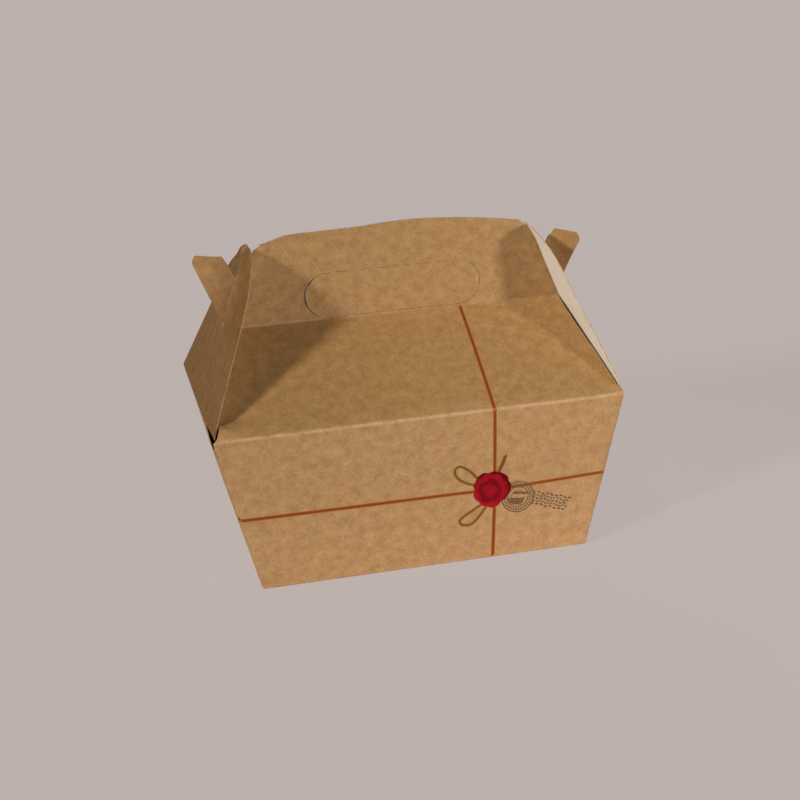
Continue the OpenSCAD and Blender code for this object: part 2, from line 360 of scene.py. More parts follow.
# Corners of an ear from its foot, round its blunt end and hook, to its neck: (place, radius).
ear_front_view = [
    (at_flap(EAR_START, -END_GAP), 0.8),
    (at_flap(EAR_START + 26.0, 26.5), 3.4),
    (at_flap(EAR_START + 30.8, 26.5), 1.6),
    (at_flap(EAR_START + EAR_NECK + EAR_HOOK, 13.5), 2.2),
    (at_flap(81.9, 7.1), 2.0),
    (at_flap(EAR_START + EAR_NECK, -END_GAP), 0.8),
]
shoulder = np.array([end_x(SHOULDER_Z), SHOULDER_Z])
arch_rise = CROWN_Z - SHOULDER_Z
arch_r = (shoulder[0] ** 2 + arch_rise ** 2) / (2 * arch_rise)
arch_half = math.asin(shoulder[0] / arch_r)
arch = [np.array([arch_r * math.sin(a), CROWN_Z - arch_r + arch_r * math.cos(a)])
        for a in np.linspace(arch_half, 0, 25)][1:]
corners = [(np.array([end_x(RIDGE_Z + 1), RIDGE_Z + 1]), 0)]
corners += ear_front_view + [(shoulder, SHOULDER_R), (arch[0], 0)]
upper = [corners[0][0]]
for (a, _), (b, radius), (c, _) in zip(corners, corners[1:], corners[2:]):
    upper += fillet(a, b, c, radius)
upper += arch

TAB_W, TAB_SLANT, TAB_INSET, TAB_R = 17.0, math.tan(math.radians(35)), 3.0, 0.5
edge_way = np.array([HALF_TOP - HALF_BOTTOM, WALL_H]) / math.hypot(HALF_TOP - HALF_BOTTOM, WALL_H)
edge_out = np.array([edge_way[1], -edge_way[0]])
SEAM_Y = HALF_DEPTH - 1.15
side_top = side_runs[2][0] + side_runs[2][1] - END_GAP


def wall_point(z, out=0.0):
    """[x, distance along the wrap] on the front wall, out from its slanted edge."""
    x, z = np.array([side_x(z), z]) + edge_out * (out - TAB_R * (1 if out > 0 else 0))
    return [x, wrap_at(WALL, z)]


tab_low, tab_high = TAB_INSET, WALL_H - TAB_INSET
tab_out = TAB_W + TAB_R * math.pi / 2
base_x = HALF_BOTTOM - 0.2
quarter = [[side_top, 0], [side_top, SEAM_Y], [base_x, SEAM_Y], [base_x, wrap_runs[BASE_BEND][0]]]
quarter += [wall_point(1.2), wall_point(tab_low), wall_point(tab_low + 0.6 + TAB_W * TAB_SLANT, tab_out),
            wall_point(tab_high - TAB_W * TAB_SLANT, tab_out), wall_point(tab_high), wall_point(WALL_H - 0.6)]
quarter += [[end_x(z), wrap_at(ROOF, z)] for z in np.linspace(WALL_H + 0.5, RIDGE_Z - 0.5, 14)]
quarter += [[p[0], wrap_at(HANDLE, p[1])] for p in upper]
quarter = [np.array(p, float) for p in spaced(quarter, 3.0)]
top_row = [p * [-1, 1] for p in quarter[::-1]][1:]
front_half = [p * [1, -1] for p in quarter + top_row]
back_half = [p * [-1, 1] for p in quarter + top_row]
blank_outline = np.array(front_half[:-1] + back_half[:-1])
print("outline of the blank:", len(blank_outline), "points")

# %% [markdown]
# ## The hand hole
#
# The hand hole is cut but still closed: a fine slit runs round it, left out at the bridges along its
# top and at the nicks along its foot. Each stretch of slit is a thin closed loop, cut out of the blank.
# The back panel's slits lie half a millimetre off those of the front panel, so no light shines through.

# %% Slits of the hand hole
# The CAD solids have a height of 28 and a cut of 0.4 here.
HOLE_L, HOLE_H, HOLE_LOW, CUT = 106.0, 27.3, RIDGE_Z + 0.9, 0.28
BRIDGES, BRIDGE_STEP, BRIDGE_HALF = 7, 12.0, 2.0
NICKS, NICK_STEP, NICK_HALF = 4, 24.0, 0.75


def stadium(t, inset):
    """Point [x, z] at a share t of the way round the hand hole, counted from the middle of its foot."""
    r = HOLE_H / 2
    flat = HOLE_L - HOLE_H
    s = (t % 1.0) * (2 * flat + 2 * math.pi * r)
    centre_z = HOLE_LOW + r
    if s < flat / 2 or s >= 1.5 * flat + 2 * math.pi * r:
        x = s if s < flat / 2 else s - 2 * flat - 2 * math.pi * r
        return [x, HOLE_LOW + inset]
    if s < flat / 2 + math.pi * r:
        a = -math.pi / 2 + (s - flat / 2) / r
        return [flat / 2 + (r - inset) * math.cos(a), centre_z + (r - inset) * math.sin(a)]
    if s < 1.5 * flat + math.pi * r:
        return [flat - (s - math.pi * r), HOLE_LOW + HOLE_H - inset]
    a = math.pi / 2 + (s - 1.5 * flat - math.pi * r) / r
    return [-flat / 2 + (r - inset) * math.cos(a), centre_z + (r - inset) * math.sin(a)]


def slit_loops():
    """Closed loops of [x, distance along the wrap], one for each stretch of the cut."""
    r, flat = HOLE_H / 2, HOLE_L - HOLE_H
    whole = 2 * flat + 2 * math.pi * r
    top_mid = flat + math.pi * r
    bridges = [top_mid + (i - (BRIDGES - 1) / 2) * BRIDGE_STEP for i in range(BRIDGES)]
    nicks = [((i - (NICKS - 1) / 2) * NICK_STEP) % whole for i in range(NICKS)]
    gaps = [(b - BRIDGE_HALF, b + BRIDGE_HALF) for b in bridges]
    gaps = sorted(gaps + [(n - NICK_HALF, n + NICK_HALF) for n in nicks])
    loops = []
    for (_, a), (b, _) in zip(gaps, gaps[1:] + [(gaps[0][0] + whole, 0)]):
        n = max(2, math.ceil((b - a) / 1.3))
        ts = [(a + (b - a) * i / n) / whole for i in range(n + 1)]
        loop = [stadium(t, 0.0) for t in ts] + [stadium(t, CUT) for t in ts[::-1]]
        loops.append(np.array([[x, wrap_at(HANDLE, z)] for x, z in loop]))
    return loops


slits = slit_loops()
print("stretches of cut in each handle panel:", len(slits))

# %% [markdown]
# ## Filling the blank with triangles
#
# A sheet that has to bend smoothly needs points all over it, and extra rows of points right at its creases.
# A constrained Delaunay triangulation takes any outline, holes and loose points and returns well-shaped
# triangles. Triangles outside the outline or in a slit are then dropped. The even-odd rule tells which:
# a ray from a point that lies inside crosses the loops an odd number of times.

# %% Triangulation
def inside(points, loops):
    """Even-odd test of points against closed loops."""
    odd = np.zeros(len(points), bool)
    for loop in loops:
        for (x1, y1), (x2, y2) in zip(loop, np.roll(loop, -1, axis=0)):
            if y1 != y2:
                crosses = (y1 > points[:, 1]) != (y2 > points[:, 1])
                odd ^= crosses & (points[:, 0] < x1 + (points[:, 1] - y1) * (x2 - x1) / (y2 - y1))
    return odd


def far_from(points, loops, gap):
    """Which points keep a gap from every edge of the loops."""
    keep = np.ones(len(points), bool)
    for loop in loops:
        for a, b in zip(loop, np.roll(loop, -1, axis=0)):
            d = b - a
            t = np.clip(((points - a) @ d) / max(d @ d, 1e-12), 0, 1)
            keep &= ((points - a - t[:, None] * d) ** 2).sum(1) > gap * gap
    return keep


def triangulated(loops, loose, gap=0.7):
    """Points and triangles that fill the loops, with the loose points that lie inside them."""
    loose = loose[inside(loose, loops) & far_from(loose, loops, gap)]
    points, edges = [], []
    for loop in loops:
        n = len(points)
        points += [Vector(p) for p in loop]
        edges += [(n + i, n + (i + 1) % len(loop)) for i in range(len(loop))]
    points += [Vector(p) for p in loose]
    found = delaunay_2d_cdt(points, edges, [], 0, 1e-5, False)
    co = np.array([list(p) for p in found[0]])
    tris = np.array([t for t in found[2] if len(t) == 3])
    tris = tris[inside(co[tris].mean(axis=1), loops)]
    used = np.unique(tris)
    new = np.full(len(co), -1)
    new[used] = np.arange(len(used))
    return co[used], new[tris]


def crease_rows(runs, bends, reach=(0.35, 1.3)):
    """Distances at which rows of points follow each bend, and stand guard beside it."""
    rows = []
    for k in bends:
        at, length = runs[k][0], runs[k][1]
        rows += [at - r for r in reach] + list(at + length * np.linspace(0, 1, 5))
        rows += [at + length + r for r in reach]
    return rows


def filled(rows, low, high, step):
    """Rows from low to high, with the given ones kept and even ones between them."""
    marks = sorted([low] + [r for r in rows if low < r < high] + [high])
    return [p[0] for p in spaced([[m, 0] for m in marks], step)]


def mirrored(rows):
    """The rows and their mirror images, each once and in order."""
    return sorted(set([round(r, 4) for r in rows] + [round(-r, 4) for r in rows]))


STEP = 4.0
TAB_AT = (0.1, 0.4, 0.785, 1.1, 1.5, 2.5, 5, 9, 13)
wrap_bends = crease_rows(wrap_runs, (BASE_BEND, EAVES_BEND, RIDGE_BEND))
wrap_rows = mirrored(filled(wrap_bends, 0, wrap_at(HANDLE, CROWN_Z), STEP))
side_rows = mirrored(filled(crease_rows(side_runs, (1,)), 0, side_top, STEP))
tab_rows = [wall_point(z, out) for z in np.arange(5, 91, 3.0) for out in TAB_AT]
loose = np.array([[x, w] for w in wrap_rows for x in side_rows])
loose = np.concatenate([loose, [[sx * x, sy * w] for x, w in tab_rows for sx in (1, -1) for sy in (1, -1)]])
all_slits = [s * [1, -1] for s in slits] + [s + [0.5, 0.5] for s in slits]
blank_points, blank_tris = triangulated([blank_outline] + all_slits, loose, 0.25)
print("blank:", len(blank_points), "points,", len(blank_tris), "triangles")

# %% [markdown]
# ## Folding the blank
#
# The fold takes a point of the flat blank to its place in space, with the direction that is outward there.
# Most of the sheet follows the wrap over the creases that run along X. The side walls follow the base
# creases along Y, and the glue laps bend round the slanted corners and step in behind the side walls.

# %% Fold
def fold(flat):
    """Places and outward normals in space, in millimetres, of points [x, y] of the flat blank."""
    flat = np.asarray(flat, float)
    x, v = flat[:, 0], flat[:, 1]
    w, front = np.abs(v), np.where(v < 0, 1.0, -1.0)
    p2, n2 = on_path(wrap_runs, w, CREASE_R)
    place = np.stack([x, front * p2[:, 0], p2[:, 1]], 1)
    normal = np.stack([0 * x, front * n2[:, 0], n2[:, 1]], 1)

    wing = (w < SEAM_Y + 0.1) & (np.abs(x) > side_runs[1][0])
    p2, n2 = on_path(side_runs, np.abs(x[wing]), CREASE_R)
    side = np.where(x[wing] < 0, 1.0, -1.0)
    place[wing] = np.stack([side * p2[:, 0], v[wing], p2[:, 1]], 1)
    normal[wing] = np.stack([side * n2[:, 0], 0 * side, n2[:, 1]], 1)

    z = place[:, 2]
    rel = np.stack([np.abs(x) - HALF_BOTTOM, z - BOARD / 2], 1)
    beyond = rel @ edge_out + TAB_R
    tab = ~wing & (z > 1.1) & (z < WALL_H - 1.0) & (np.abs(place[:, 1]) > HALF_DEPTH - 1) & (beyond > 0)
    d, side, front = beyond[tab], np.sign(x[tab]), front[tab]
    a = np.clip(d / TAB_R, 0, math.pi / 2)
    straight = np.clip(d - TAB_R * math.pi / 2, 0, None)
    foot = np.stack([np.abs(x[tab]), z[tab]], 1) - d[:, None] * edge_out
    out = TAB_R * np.sin(a) - 0.56 * smooth(straight / 1.0)
    seen = foot + out[:, None] * edge_out
    inward = TAB_R * (1 - np.cos(a)) + straight
    place[tab] = np.stack([side * seen[:, 0], -front * (HALF_DEPTH - inward), seen[:, 1]], 1)
    normal[tab] = np.stack([side * np.sin(a) * edge_out[0], -front * np.cos(a), np.sin(a) * edge_out[1]], 1)
    return place, normal


placed, normals = fold(blank_points)
print("folded:", placed.min(axis=0).round(2), placed.max(axis=0).round(2))

# %% [markdown]
# ## Letting the board relax
#
# Folded board is never quite flat. The walls belly out by under a millimetre, the roof panels hold a slight
# curve between ridge and eaves, and the ears keep the bend that they got when they were pushed through the
# slots of the flaps: the left pair leans back and the right pair leans forward. Beside the left ears the
# handle curls forward, and its cut edge lies up to 1.3 mm off its arc. The front left corner of the eaves
# was knocked, so the crease rises there. The cover of the hand hole stands a little proud at its left end.
# The crease of the left flap has split, so the top of that wall sags and leans out along the split. All of
# this is one function of the place in space, so the two handle panels and the laps behind the side walls
# move together, and the print follows.

# %% Relax
EAR_BEND = {-1: 11.0, 1: -13.0}
EAR_SHRINK = {-1: 0.4, 1: 5.4}
EAR_LIFT = {-1: 1.6, 1: 0.0}
# How far the cut edge of the handle lies off its arc: places along x, and rise there.
EDGE_AT = [-76, -64, -55, -46, -34, -20, -4, 10, 44, 62, 76]
EDGE_RISE = [-0.8, 1.3, 0.8, 0.0, -0.7, -1.2, -0.6, 0.0, -0.3, -0.6, -0.9]
# How far the board gives elsewhere.
WALL_BELLY, SIDE_BELLY, ROOF_SWELL = 0.8, 0.7, 0.9
HANDLE_WAVE, HANDLE_BELLY, HANDLE_CURL = 0.9, 0.5, 4.6
KNOCK, COVER_PROUD, SPLIT_SAG, SPLIT_LEAN = 5.0, 1.3, 0.5, 1.0


def split_at(y):
    """How far the left flap's crease has split open: a little from y 60 on, fully at the front corner."""
    return 0.2 * smooth((60 - y) / 20) + 0.8 * smooth((-36 - y) / 27)


def relaxed(place, cover=None):
    """Places moved by the small bows and knocks of the board. cover marks points of the hand hole's cover."""
    p = place.copy()
    x, y, z = place.T
    # walls
    half = np.interp(z, [0, WALL_H, CROWN_Z], [HALF_BOTTOM, HALF_TOP, 81])
    across = np.cos(np.clip(x / half, -1, 1) * math.pi / 2)
    up_wall = np.sin(np.clip(z / WALL_H, 0, 1) * math.pi)
    on_wall = (np.abs(y) > HALF_DEPTH - 1.5) & (z > 0.9) & (z < WALL_H)
    p[:, 1] += np.where(on_wall, np.sign(y) * WALL_BELLY * across * up_wall, 0)

    deep = np.cos(np.clip(y / HALF_DEPTH, -1, 1) * math.pi / 2)
    on_side = (np.abs(x) > side_x(z) - 4) & (z > 0.9) & (z < WALL_H) & (np.abs(y) < HALF_DEPTH)
    p[:, 0] += np.where(on_side, np.sign(x) * SIDE_BELLY * deep * up_wall, 0)

    # roof
    rise = (z - WALL_H) / (RIDGE_Z - WALL_H)
    on_roof = (rise > 0) & (rise < 1) & (np.abs(y) > 0.3)
    swell = ROOF_SWELL * np.sin(np.clip(rise, 0, 1) * math.pi) * across ** 0.6
    slope = math.hypot(HALF_DEPTH, RIDGE_Z - WALL_H)
    p[:, 1] += np.where(on_roof, np.sign(y) * swell * (RIDGE_Z - WALL_H) / slope, 0)
    p[:, 2] += np.where(on_roof, swell * HALF_DEPTH / slope, 0)

    # handle and its cut edge
    up_handle = np.clip((z - RIDGE_Z) / (CROWN_Z - RIDGE_Z), 0, 1)
    on_handle = np.abs(y) < 5
    wave = HANDLE_WAVE * up_handle * np.sin(x / 34 + 0.6)
    p[:, 1] += wave * on_handle + HANDLE_BELLY * np.sin(up_handle * math.pi) * on_handle

    near_edge = smooth((up_handle - 0.6) / 0.35) * (np.abs(x) < 84)
    p[:, 2] += np.interp(x, EDGE_AT, EDGE_RISE) * near_edge

    # ears
    out = (np.abs(x) - HALF_TOP) * out_of_flap[0] + (z - WALL_H) * out_of_flap[1]
    on_ear = (out > 3) & (z > RIDGE_Z) & on_handle
    bend, shrink, lift = (np.where(x < 0, by[-1], by[1]) for by in (EAR_BEND, EAR_SHRINK, EAR_LIFT))
    curl = np.clip((out - 3) / 23.5, 0, None)
    p[:, 1] += np.where(on_ear, bend * curl ** np.where(x < 0, 2.1, 1.5), 0)
    p[:, 0] -= np.where(on_ear, np.sign(x) * shrink * curl ** 1.2, 0)
    p[:, 2] += np.where(on_ear, lift * curl, 0)

    # the handle's left end
    beside = smooth((-x - (HALF_TOP - (z - WALL_H) * math.tan(FLAP_LEAN)) + 10) / 10)
    beside *= smooth((z - 162) / 5) * (1 - smooth((z - 178) / 6)) * (1 - smooth((out + 0.6) / 3))
    p[:, 1] -= np.where(on_handle, HANDLE_CURL * beside, 0)

    # the knocked corner of the eaves and the ends of the roof
    from_eaves = np.hypot(y + HALF_DEPTH, z - WALL_H)
    crest = np.minimum(from_eaves / 4.5, smooth((15 - from_eaves) / 10.5))
    knock = np.where(on_roof & (y < 0), KNOCK * crest * smooth((-x - 100) / 18), 0)
    p[:, 2] += 0.84 * knock
    p[:, 1] -= 0.54 * knock
    foot = on_roof & (y < 0) & (x < -100)
    p[:, 0] += np.where(foot, 1.4 * (1 - smooth((z - WALL_H - 2) / 11)) * smooth((z - WALL_H) / 1.5), 0)
    end = on_roof & (y < 0) & (x > 60)
    narrow = 0.8 * (1 - smooth((z - WALL_H) / 14))
    narrow = narrow - 0.7 * smooth((z - 110) / 12) * (1 - smooth((z - 132.5) / 3.5))
    p[:, 0] += np.where(end, narrow * smooth((x - end_x(z) + 12) / 10), 0)
    corner = np.exp(-((x - 119) / 9) ** 2 - ((z - WALL_H) / 6) ** 2) * (y < -HALF_DEPTH + 9)
    p[:, 2] += 0.7 * corner
    # the split crease of the left flap
    split = (x < -HALF_TOP + 5) & (z > WALL_H - 16) & (z < WALL_H + 0.1) & (np.abs(y) < SEAM_Y + 0.2)
    gape = np.where(split, split_at(y) * smooth((z - WALL_H + 16) / 16), 0)
    p[:, 2] -= SPLIT_SAG * gape
    p[:, 0] -= SPLIT_LEAN * gape

    if cover is not None:
        left = np.clip((-x - 30) / 23, 0, 1)
        p[:, 1] -= np.where(cover, COVER_PROUD * left ** 1.3, 0)
    return p


hole_loop = np.array([stadium(t, CUT / 2) for t in np.linspace(0, 1, 120, endpoint=False)])
in_cover = inside(placed[:, [0, 2]], [hole_loop]) & (np.abs(placed[:, 1]) < 1) & (blank_points[:, 1] < 0)
relaxed_blank = relaxed(placed, in_cover)
print("largest move:", round(float(np.abs(relaxed_blank - placed).max()), 2), "mm")

# %% [markdown]
# ## From points to a board with thickness
#
# The middle of the board is now a surface. Solidify grows it by half the board to each side and closes
# its rim, and can give the inner face and the rim materials of their own: cream liner inside, raw fibre
# on the cut edges. It is applied, so that what follows works on a plain mesh. Edges sharper than 40 degrees
# stay crisp, the rest is shaded smooth.

# %% Sheet builder
def in_scene(name, data):
    """A new object at the origin, linked to the scene."""
    made = bpy.data.objects.new(name, data)
    bpy.context.scene.collection.objects.link(made)
    return made


def mark_blank(mesh, flat):
    """Store each point's place on the flat blank, given in millimetres, for the patterns to use."""
    spots = np.column_stack([flat * MM, np.zeros(len(flat))]).ravel().astype(np.float32)
    mesh.attributes.new("blank", "FLOAT_VECTOR", "POINT").data.foreach_set("vector", spots)


def wear_at(flat_w, rows, reach=1.1):
    """1 on a crease, falling to 0 at a distance from it."""
    found = np.zeros(len(flat_w))
    for at, length in rows:
        away = np.clip(np.abs(flat_w - at - length / 2) - length / 2, 0, None)
        found = np.maximum(found, 1 - smooth(away / reach))
    return found


def board_piece(name, places, tris, normals, flat, wear, thickness=BOARD):
    """A mesh object of board from its middle surface. Triangles are turned to face along the normals."""
    tris = np.array(tris)
    corner = places[tris]
    facing = np.cross(corner[:, 1] - corner[:, 0], corner[:, 2] - corner[:, 0])
    wrong = (facing * normals[tris].mean(axis=1)).sum(1) < 0
    tris[wrong] = tris[wrong][:, ::-1]
    mesh = bpy.data.meshes.new(name)
    mesh.from_pydata((places * MM).tolist(), [], tris.tolist())
    mark_blank(mesh, flat)
    worn = mesh.attributes.new("wear", "FLOAT", "POINT")
    worn.data.foreach_set("value", wear.astype(np.float32))
    for finish in SHEET_FINISHES:
        mesh.materials.append(finish)
    piece = in_scene(name, mesh)
    solid = piece.modifiers.new("board", "SOLIDIFY")
    solid.thickness = thickness * MM
    solid.offset = 0.0
    solid.use_even_offset = False
    solid.use_rim = True
    solid.material_offset = 1
    solid.material_offset_rim = 2
    bake(piece)
    piece.data.polygons.foreach_set("use_smooth", [True] * len(piece.data.polygons))
    piece.data.set_sharp_from_angle(angle=math.radians(40))
    return piece


def bake(piece):
    """Replace a piece's mesh by what its modifiers make of it, and drop the modifiers."""
    graph = bpy.context.evaluated_depsgraph_get()
    mesh = bpy.data.meshes.new_from_object(piece.evaluated_get(graph))
    piece.modifiers.clear()
    piece.data = mesh


wrap_creases = [(wrap_runs[k][0], wrap_runs[k][1]) for k in (BASE_BEND, EAVES_BEND, RIDGE_BEND)]
side_creases = [(side_runs[1][0], side_runs[1][1])]
blank_x, blank_w = blank_points[:, 0], np.abs(blank_points[:, 1])
blank_wear = np.where(blank_w < SEAM_Y + 0.1, wear_at(np.abs(blank_x), side_creases) * 0.4,
                      wear_at(blank_w, wrap_creases, 0.7) * 0.62)
blank_wear *= np.where(np.abs(blank_w - wrap_runs[BASE_BEND][0]) < 5, 0.3, 1.0)
# Along the ridge the pale crease fades out towards the right end, where the ridge lies in shade: the fade is
# painted shade.
at_ridge = np.abs(blank_w - wrap_runs[RIDGE_BEND][0]) < 5
blank_wear *= np.where(at_ridge, 0.5 * smooth((30 - blank_x) / 110), 1.0)
carton = board_piece("carton_sheet", relaxed_blank, blank_tris, normals, blank_points, blank_wear)
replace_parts(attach(carton, "carton"), "carton")
print("carton sheet:", len(carton.data.polygons), "faces")

# %% [markdown]
# ## The end flaps
#
# Each end flap is the rest of the same sheet, past the crease at the top of the side wall. It leans in, and
# the ears of the handle hook through its slot. The ears force the slot open: on the left flap the strip in
# front of the slot is pushed out a little and the strip behind it more, and behind that strip the board
# buckles in. The pale inner face shows through the opening. The front lip of the left slot is paler: partly
# worn, partly a painted highlight along its edge.

# %% Flap outline and slot
FLAP_L, FLAP_HALF_W, FLANK = 97.1, 65.15, math.radians(20.8)
tip_up = (FLAP_L - FLAP_HALF_W * math.cos(FLANK)) / (1 - math.sin(FLANK))
tip_r = FLAP_L - tip_up
SLOT_LOW, SLOT_HIGH, SLOT_HALF = 44.7, 88.9, 1.1
flap_loop = [[-FLAP_HALF_W, 0.3], [FLAP_HALF_W, 0.3]]
tip_angles = np.linspace(FLANK, math.pi - FLANK, 60)
flap_loop += [[tip_r * math.cos(a), tip_up + tip_r * math.sin(a)] for a in tip_angles]
flap_loop = np.array(spaced(flap_loop, 3.0, closed=True))


def slot_end(middle, start, end):
    """Points of a round end of the slot."""
    return [[SLOT_HALF * math.cos(a), middle + SLOT_HALF * math.sin(a)] for a in np.linspace(start, end, 9)]


low, high = SLOT_LOW + SLOT_HALF, SLOT_HIGH - SLOT_HALF
slot_loop = [[-SLOT_HALF, low], [SLOT_HALF, low], [SLOT_HALF, high]]
slot_loop += slot_end(high, 0, math.pi)[1:] + slot_end(low, math.pi, 2 * math.pi)[1:-1]
slot_loop = np.array(spaced(slot_loop, 1.5, closed=True))
flap_rows = filled([], 0.5, FLAP_L, 3.0)
one_side = filled([2.2, 3.0, 4.4, 6.0], 1.6, FLAP_HALF_W, 3.0)
flap_cols = sorted(set([round(s * c, 3) for c in one_side for s in (1, -1)] + [0.0]))
flap_loose = np.array([[y, s] for s in flap_rows for y in flap_cols])
flap_points, flap_tris = triangulated([flap_loop, slot_loop], flap_loose, 0.5)
print("flap:", len(flap_points), "points, slot", SLOT_LOW, "to", SLOT_HIGH)

# %% Flap in space
# How far the strips in front of and behind the slot are pushed out, at distances up the flap.
SPREAD_AT = [0, 44, 52, 60, 70, 78, 84, 88, 91, 97]
SPREAD = {
    -1: {"front": [0, 0, 1.2, 2.0, 2.4, 2.9, 3.3, 3.2, 2.7, 1.5],
         "back": [0, 0, 1.8, 3.8, 6.0, 7.2, 6.6, 5.0, 3.4, 1.5]},
    1: {"front": [0, 0, 0.0, 0.0, 0.0, 0.0, 0.0, -0.2, -0.6, -1.4],
        "back": [0, 0, 0.6, 1.2, 1.8, 2.0, 1.6, 0.6, -0.2, -1.4]},
}


def flap_place(points, side):
    """Places and outward normals of flap points [y, distance up the flap] on the left (-1) or right (1)."""
    y, s = points.T
    front = np.interp(s, SPREAD_AT, SPREAD[side]["front"])
    lip = 0.42 * np.exp(-(np.abs(y) - SLOT_HALF) / 1.7)
    front = front * (lip + 0.48 * np.clip(1 - np.abs(y) / 45, 0, 1))
    back = np.interp(s, SPREAD_AT, SPREAD[side]["back"]) * np.clip(1 - np.abs(y) / 17, 0, 1) ** 1.5
    if side < 0:
        behind = np.sin(np.clip((y - 4) / 32, 0, 1) * math.pi) ** 2
        back = back - 4.5 * behind * smooth((s - 54) / 16) * smooth((91 - s) / 12)
    bow = 0.8 * np.sin(np.clip(s / FLAP_L, 0, 1) * math.pi)
    bow = bow * np.cos(np.clip(y / FLAP_HALF_W, -1, 1) * math.pi / 2)
    out = np.where(y < 0, front, back) * smooth(s / 20)
    if side < 0:
        out = out - bow * 0.3 - 0.6 * split_at(y) * (1 - smooth(s / 18))
        up = s + 1.3 * split_at(y) * (1 - smooth(s / 14))
    else:
        out = out + bow * 0.9 * (y > 0) + 0.5 * smooth(s / 8) * (1 - smooth((s - 36) / 12))
        up = s - 2.4 * smooth((s - 80) / 17)
    xz = crease_point + up[:, None] * up_flap + out[:, None] * out_of_flap
    places = np.column_stack([side * xz[:, 0], y, xz[:, 1]])
    normals = np.tile([side * out_of_flap[0], 0, out_of_flap[1]], (len(y), 1))
    return places, normals


for side, label, crease_wear in ((-1, "left", 0.15), (1, "right", 0.6)):
    places, out_normals = flap_place(flap_points, side)
    y, s = flap_points.T
    flat = np.column_stack([side * (side_top + 1 + s), y])
    wear = crease_wear * (1 - smooth(s / 1.4))
    if side < 0:
        # The lip in front of the left slot is paler: partly worn board, partly a painted highlight, brightest
        # along the slot's edge and fading over a wider band.
        from_slot = np.clip(-y - SLOT_HALF, 0, None)
        on_lip = (y < 0) * smooth((s - 47) / 8) * smooth((86 - s) / 8)
        worn_and_lit = np.maximum(0.95 * np.exp(-(from_slot / 2.6) ** 2), 0.55 * np.exp(-(from_slot / 13) ** 2))
        wear = np.maximum(wear, worn_and_lit * on_lip)
    flap = board_piece(label + "_end_flap_sheet", places, flap_tris, out_normals, flat, wear)
    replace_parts(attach(flap, label + "_flap"), label + "_end_flap")
    print(flap.name, len(flap.data.polygons), "faces")

# %% [markdown]
# ## The creases between walls and flaps
#
# The board runs on from the side wall into the flap, and bends there when the flap swings. A short strip of
# board fills that bend. It follows the wall at its lower end and the flap at its upper end.
# On the left the crease has split along most of its length. The strip is there only at the back, and in
# front of it a dark slit widens towards the corner.

# %% Crease strips
def crease_strip(label, side, start, end, wear):
    """A strip of board over the crease between two places along it, blended from wall to flap."""
    around = np.linspace(-1.0, 1.0, 9)
    along = np.arange(start, end + 0.1, 4.0)
    flat = np.array([[y, s] for y in along for s in around])
    wall_way = -edge_way
    inward = -(edge_out + out_of_flap) / np.linalg.norm(edge_out + out_of_flap)
    places, normals = [], []
    for y, s in flat:
        # from the direction of the wall to that of the flap, drawn in a little at the corner
        xz = crease_point + (wall_way * -min(s, 0) + up_flap * max(s, 0))
        xz = xz + inward * (0.16 * (1 - min(1.0, abs(s))) ** 2)
        normal = edge_out * (1 - s) / 2 + out_of_flap * (1 + s) / 2
        places.append([side * xz[0], y, xz[1]])
        normals.append([side * normal[0], 0, normal[1]])
    n = len(around)
    tris = []
    for i in range(len(along) - 1):
        for j in range(n - 1):
            a = i * n + j
            tris += [[a, a + 1, a + n], [a + 1, a + n + 1, a + n]]
    blank = np.column_stack([side * (side_top + 0.5 + flat[:, 1]), flat[:, 0]])
    strip = board_piece(label + "_flap_crease", np.array(places), tris, np.array(normals), blank,
                        wear * (1 - np.abs(flat[:, 1])), thickness=0.44)
    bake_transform(strip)
    return strip


for label, side, start, wear in (("left", -1, 44.0, 0.15), ("right", 1, -64.0, 0.5)):
    strip = crease_strip(label, side, start, 64.0, wear)
    print(strip.name, len(strip.data.polygons), "faces")

# %% [markdown]
# ## The print: twine
#
# The carton is printed with two lengths of twine that cross under a seal, a common gift-wrap ornament.
# Print is only colour on the surface, so each part of it is a flat shape that lies 0.04 to 0.14 mm off the
# board, the seal furthest. It is drawn in the blank's own millimetres and folded by the same two functions
# as the board, so the upright length runs from the ridge over the eaves crease and down the wall in one piece.
# The twine is a band with slanting strokes, which are its strands. Geometry Nodes repeat one stroke along
# the line: a curve is cut into even steps, and each step gets a small leaf shape, turned to the line.

# %% Inks
def ink_material(name, ink, under, gaps, grain_mm):
    """Offset ink on kraft: ink where it took, and the board showing through where it didn't."""
    material, tree = empty_material(name)
    blank = add(tree, "ShaderNodeAttribute", {"attribute_name": "blank"}).outputs["Vector"]
    took = add(tree, "ShaderNodeTexNoise", None,
               {"Vector": blank, "Scale": 1000 / grain_mm, "Detail": 3.0, "Roughness": 0.6}).outputs["Fac"]
    bare = add(tree, "ShaderNodeMapRange", None,
               {"Value": took, "From Min": 0.62 - 0.3 * gaps, "From Max": 0.42 - 0.3 * gaps,
                "To Max": 0.75}).outputs[0]
    colour = add(tree, "ShaderNodeMix", {"data_type": "RGBA"},
                 {0: bare, 6: linear(ink), 7: linear(under)}).outputs[2]
    shader = add(tree, "ShaderNodeBsdfPrincipled", None,
                 {"Base Color": colour, "Roughness": 0.7, "IOR": 1.45, "Specular IOR Level": 0.1})
    add(tree, "ShaderNodeOutputMaterial", None, {"Surface": shader.outputs[0]})
    return material


twine_band = ink_material("printed_ink_twine_light", "#b66c34", "#9e5828", 0.5, 1.2)
twine_strand = ink_material("printed_ink_twine_dark", "#70350d", "#834512", 0.5, 1.0)
thread_band = ink_material("printed_ink_thread_light", "#a07239", "#8b622e", 0.5, 1.0)
thread_strand = ink_material("printed_ink_thread_dark", "#70491e", "#7e5626", 0.5, 1.0)
print("inks:", [m.name for m in (twine_band, twine_strand, thread_band, thread_strand)])


